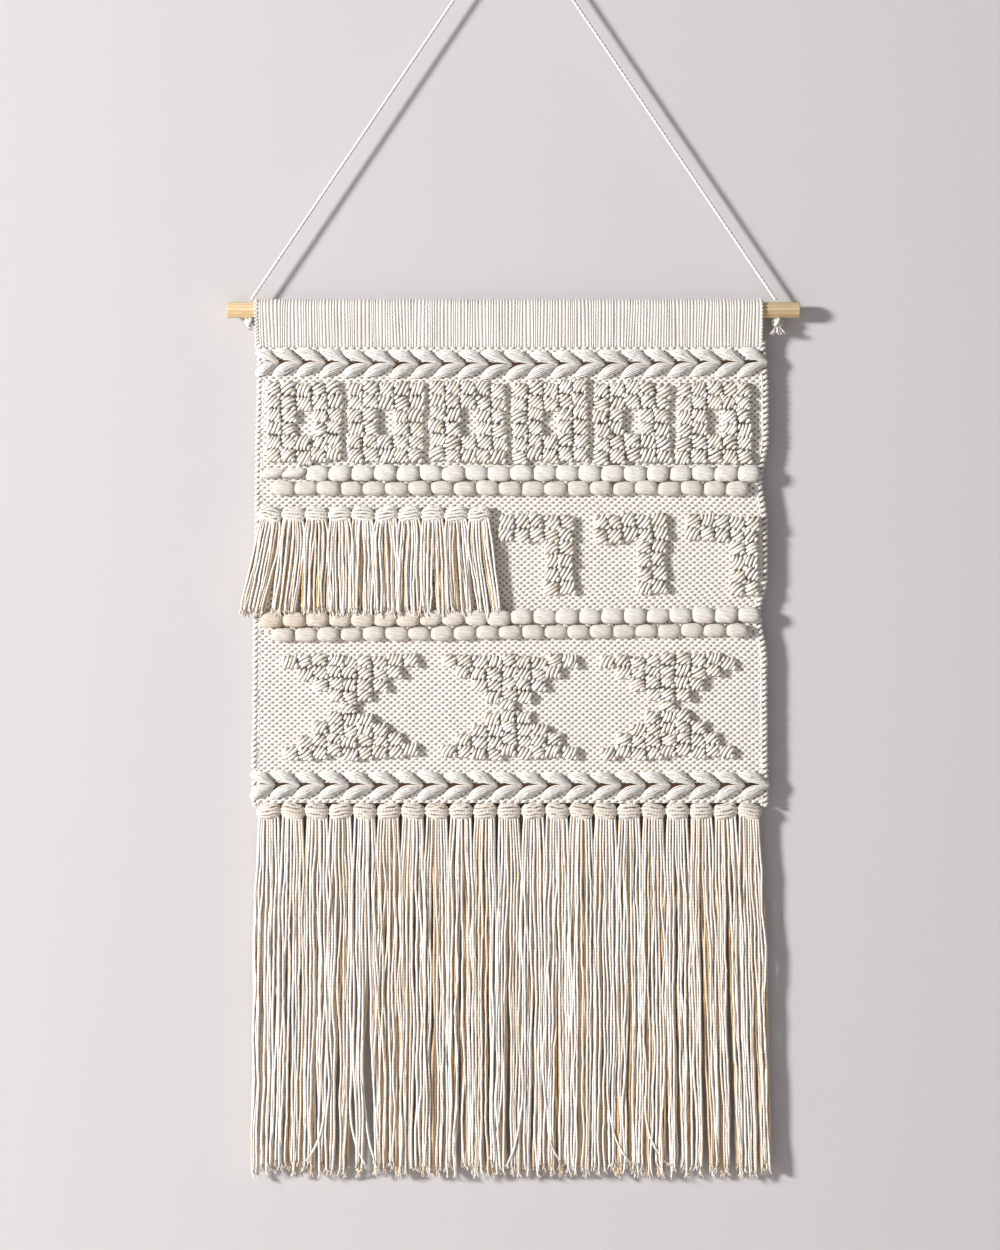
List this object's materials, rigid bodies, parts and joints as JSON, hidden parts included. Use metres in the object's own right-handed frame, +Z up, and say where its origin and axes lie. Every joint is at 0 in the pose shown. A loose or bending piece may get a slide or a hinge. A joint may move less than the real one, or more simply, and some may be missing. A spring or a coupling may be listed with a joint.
{
  "type": "tapestry wall hanging",
  "caption": "Handwoven cotton wall hanging on a wooden dowel, with braid, roving and loop pile motifs, short and long tassel fringes, and a hanging cord.",
  "frame": {"origin": "the point where a nail or hook carries the bight of the hanging cord", "axes": "+Z up along the hang, +X to the right as seen from the front, and the front faces -Y, so the wall is at +Y"},
  "size_m": [0.45, 0.0169, 0.9874],
  "materials": {
    "pine": "bare planed pine with straight grain, satin",
    "cotton_twine": "twisted cotton twine, matt",
    "woven_cotton": "plain woven undyed cotton, matt",
    "selvedge_cotton": "turned edge of undyed cotton, matt",
    "braid_cotton": "soft stranded cotton braid, matt",
    "white_roving": "unspun white roving, matt and fuzzy",
    "beige_roving": "unspun pale beige roving, matt and fuzzy",
    "loop_pile": "looped cotton yarn pile, matt",
    "fringe_cotton": "loose twisted cotton yarns, matt"
  },
  "bodies": {
    "hanger": {"hanging_cord": "cotton_twine"},
    "rod": {"dowel": "pine", "left_cord_knot": "cotton_twine", "right_cord_knot": "cotton_twine"},
    "cloth": {"header_sleeve": "woven_cotton", "woven_ground": "woven_cotton", "left_selvedge": "selvedge_cotton", "right_selvedge": "selvedge_cotton", "top_braid_upper_row": "braid_cotton", "top_braid_lower_row": "braid_cotton", "bottom_braid_upper_row": "braid_cotton", "bottom_braid_lower_row": "braid_cotton", "upper_roving_white_row": "white_roving", "upper_roving_beige_row": "beige_roving", "lower_roving_white_row": "white_roving", "lower_roving_beige_row": "beige_roving", "frame_motif_1": "loop_pile", "frame_motif_2": "loop_pile", "frame_motif_3": "loop_pile", "frame_motif_4": "loop_pile", "frame_motif_5": "loop_pile", "frame_motif_6": "loop_pile", "seven_motif_1": "loop_pile", "seven_motif_2": "loop_pile", "seven_motif_3": "loop_pile", "hourglass_motif_1": "loop_pile", "hourglass_motif_2": "loop_pile", "hourglass_motif_3": "loop_pile"},
    "short_tassel_01": {"short_tassel_01": "fringe_cotton"},
    "short_tassel_02": {"short_tassel_02": "fringe_cotton"},
    "short_tassel_03": {"short_tassel_03": "fringe_cotton"},
    "short_tassel_04": {"short_tassel_04": "fringe_cotton"},
    "short_tassel_05": {"short_tassel_05": "fringe_cotton"},
    "short_tassel_06": {"short_tassel_06": "fringe_cotton"},
    "short_tassel_07": {"short_tassel_07": "fringe_cotton"},
    "short_tassel_08": {"short_tassel_08": "fringe_cotton"},
    "short_tassel_09": {"short_tassel_09": "fringe_cotton"},
    "short_tassel_10": {"short_tassel_10": "fringe_cotton"},
    "long_tassel_01": {"long_tassel_01": "fringe_cotton"},
    "long_tassel_02": {"long_tassel_02": "fringe_cotton"},
    "long_tassel_03": {"long_tassel_03": "fringe_cotton"},
    "long_tassel_04": {"long_tassel_04": "fringe_cotton"},
    "long_tassel_05": {"long_tassel_05": "fringe_cotton"},
    "long_tassel_06": {"long_tassel_06": "fringe_cotton"},
    "long_tassel_07": {"long_tassel_07": "fringe_cotton"},
    "long_tassel_08": {"long_tassel_08": "fringe_cotton"},
    "long_tassel_09": {"long_tassel_09": "fringe_cotton"},
    "long_tassel_10": {"long_tassel_10": "fringe_cotton"},
    "long_tassel_11": {"long_tassel_11": "fringe_cotton"},
    "long_tassel_12": {"long_tassel_12": "fringe_cotton"},
    "long_tassel_13": {"long_tassel_13": "fringe_cotton"},
    "long_tassel_14": {"long_tassel_14": "fringe_cotton"},
    "long_tassel_15": {"long_tassel_15": "fringe_cotton"},
    "long_tassel_16": {"long_tassel_16": "fringe_cotton"},
    "long_tassel_17": {"long_tassel_17": "fringe_cotton"},
    "long_tassel_18": {"long_tassel_18": "fringe_cotton"},
    "long_tassel_19": {"long_tassel_19": "fringe_cotton"},
    "long_tassel_20": {"long_tassel_20": "fringe_cotton"},
    "long_tassel_21": {"long_tassel_21": "fringe_cotton"}
  },
  "joints": [
    {"name": "rod_roll", "type": "hinge", "parent": "hanger", "child": "rod", "pos_m": [0, 0, -0.30215], "axis": [-1, 0, 0], "range_deg": [-45, 45]},
    {"name": "cloth_swing", "type": "hinge", "parent": "rod", "child": "cloth", "pos_m": [0, 0, -0.3085], "axis": [-1, 0, 0], "range_deg": [-90, 90]},
    {"name": "short_tassel_01_swing", "type": "hinge", "parent": "cloth", "child": "short_tassel_01", "pos_m": [-0.19118, -0.0047, -0.4706], "axis": [-1, 0, 0], "range_deg": [0, 90]},
    {"name": "short_tassel_02_swing", "type": "hinge", "parent": "cloth", "child": "short_tassel_02", "pos_m": [-0.17292, -0.0047, -0.4706], "axis": [-1, 0, 0], "range_deg": [0, 90]},
    {"name": "short_tassel_03_swing", "type": "hinge", "parent": "cloth", "child": "short_tassel_03", "pos_m": [-0.15468, -0.0047, -0.4706], "axis": [-1, 0, 0], "range_deg": [0, 90]},
    {"name": "short_tassel_04_swing", "type": "hinge", "parent": "cloth", "child": "short_tassel_04", "pos_m": [-0.13642, -0.0047, -0.4706], "axis": [-1, 0, 0], "range_deg": [0, 90]},
    {"name": "short_tassel_05_swing", "type": "hinge", "parent": "cloth", "child": "short_tassel_05", "pos_m": [-0.11818, -0.0047, -0.4706], "axis": [-1, 0, 0], "range_deg": [0, 90]},
    {"name": "short_tassel_06_swing", "type": "hinge", "parent": "cloth", "child": "short_tassel_06", "pos_m": [-0.09992, -0.0047, -0.4706], "axis": [-1, 0, 0], "range_deg": [0, 90]},
    {"name": "short_tassel_07_swing", "type": "hinge", "parent": "cloth", "child": "short_tassel_07", "pos_m": [-0.08167, -0.0047, -0.4706], "axis": [-1, 0, 0], "range_deg": [0, 90]},
    {"name": "short_tassel_08_swing", "type": "hinge", "parent": "cloth", "child": "short_tassel_08", "pos_m": [-0.06342, -0.0047, -0.4706], "axis": [-1, 0, 0], "range_deg": [0, 90]},
    {"name": "short_tassel_09_swing", "type": "hinge", "parent": "cloth", "child": "short_tassel_09", "pos_m": [-0.04517, -0.0047, -0.4706], "axis": [-1, 0, 0], "range_deg": [0, 90]},
    {"name": "short_tassel_10_swing", "type": "hinge", "parent": "cloth", "child": "short_tassel_10", "pos_m": [-0.02693, -0.0047, -0.4706], "axis": [-1, 0, 0], "range_deg": [0, 90]},
    {"name": "long_tassel_01_swing", "type": "hinge", "parent": "cloth", "child": "long_tassel_01", "pos_m": [-0.19274, 0.0013, -0.703], "axis": [-1, 0, 0], "range_deg": [-90, 90]},
    {"name": "long_tassel_02_swing", "type": "hinge", "parent": "cloth", "child": "long_tassel_02", "pos_m": [-0.17382, 0.0013, -0.703], "axis": [-1, 0, 0], "range_deg": [-90, 90]},
    {"name": "long_tassel_03_swing", "type": "hinge", "parent": "cloth", "child": "long_tassel_03", "pos_m": [-0.1549, 0.0013, -0.703], "axis": [-1, 0, 0], "range_deg": [-90, 90]},
    {"name": "long_tassel_04_swing", "type": "hinge", "parent": "cloth", "child": "long_tassel_04", "pos_m": [-0.13598, 0.0013, -0.703], "axis": [-1, 0, 0], "range_deg": [-90, 90]},
    {"name": "long_tassel_05_swing", "type": "hinge", "parent": "cloth", "child": "long_tassel_05", "pos_m": [-0.11706, 0.0013, -0.703], "axis": [-1, 0, 0], "range_deg": [-90, 90]},
    {"name": "long_tassel_06_swing", "type": "hinge", "parent": "cloth", "child": "long_tassel_06", "pos_m": [-0.09814, 0.0013, -0.703], "axis": [-1, 0, 0], "range_deg": [-90, 90]},
    {"name": "long_tassel_07_swing", "type": "hinge", "parent": "cloth", "child": "long_tassel_07", "pos_m": [-0.07923, 0.0013, -0.703], "axis": [-1, 0, 0], "range_deg": [-90, 90]},
    {"name": "long_tassel_08_swing", "type": "hinge", "parent": "cloth", "child": "long_tassel_08", "pos_m": [-0.06031, 0.0013, -0.703], "axis": [-1, 0, 0], "range_deg": [-90, 90]},
    {"name": "long_tassel_09_swing", "type": "hinge", "parent": "cloth", "child": "long_tassel_09", "pos_m": [-0.04139, 0.0013, -0.703], "axis": [-1, 0, 0], "range_deg": [-90, 90]},
    {"name": "long_tassel_10_swing", "type": "hinge", "parent": "cloth", "child": "long_tassel_10", "pos_m": [-0.02247, 0.0013, -0.703], "axis": [-1, 0, 0], "range_deg": [-90, 90]},
    {"name": "long_tassel_11_swing", "type": "hinge", "parent": "cloth", "child": "long_tassel_11", "pos_m": [-0.00355, 0.0013, -0.703], "axis": [-1, 0, 0], "range_deg": [-90, 90]},
    {"name": "long_tassel_12_swing", "type": "hinge", "parent": "cloth", "child": "long_tassel_12", "pos_m": [0.01537, 0.0013, -0.703], "axis": [-1, 0, 0], "range_deg": [-90, 90]},
    {"name": "long_tassel_13_swing", "type": "hinge", "parent": "cloth", "child": "long_tassel_13", "pos_m": [0.03429, 0.0013, -0.703], "axis": [-1, 0, 0], "range_deg": [-90, 90]},
    {"name": "long_tassel_14_swing", "type": "hinge", "parent": "cloth", "child": "long_tassel_14", "pos_m": [0.05321, 0.0013, -0.703], "axis": [-1, 0, 0], "range_deg": [-90, 90]},
    {"name": "long_tassel_15_swing", "type": "hinge", "parent": "cloth", "child": "long_tassel_15", "pos_m": [0.07213, 0.0013, -0.703], "axis": [-1, 0, 0], "range_deg": [-90, 90]},
    {"name": "long_tassel_16_swing", "type": "hinge", "parent": "cloth", "child": "long_tassel_16", "pos_m": [0.09105, 0.0013, -0.703], "axis": [-1, 0, 0], "range_deg": [-90, 90]},
    {"name": "long_tassel_17_swing", "type": "hinge", "parent": "cloth", "child": "long_tassel_17", "pos_m": [0.10996, 0.0013, -0.703], "axis": [-1, 0, 0], "range_deg": [-90, 90]},
    {"name": "long_tassel_18_swing", "type": "hinge", "parent": "cloth", "child": "long_tassel_18", "pos_m": [0.12888, 0.0013, -0.703], "axis": [-1, 0, 0], "range_deg": [-90, 90]},
    {"name": "long_tassel_19_swing", "type": "hinge", "parent": "cloth", "child": "long_tassel_19", "pos_m": [0.1478, 0.0013, -0.703], "axis": [-1, 0, 0], "range_deg": [-90, 90]},
    {"name": "long_tassel_20_swing", "type": "hinge", "parent": "cloth", "child": "long_tassel_20", "pos_m": [0.16672, 0.0013, -0.703], "axis": [-1, 0, 0], "range_deg": [-90, 90]},
    {"name": "long_tassel_21_swing", "type": "hinge", "parent": "cloth", "child": "long_tassel_21", "pos_m": [0.18564, 0.0013, -0.703], "axis": [-1, 0, 0], "range_deg": [-90, 90]}
  ]
}
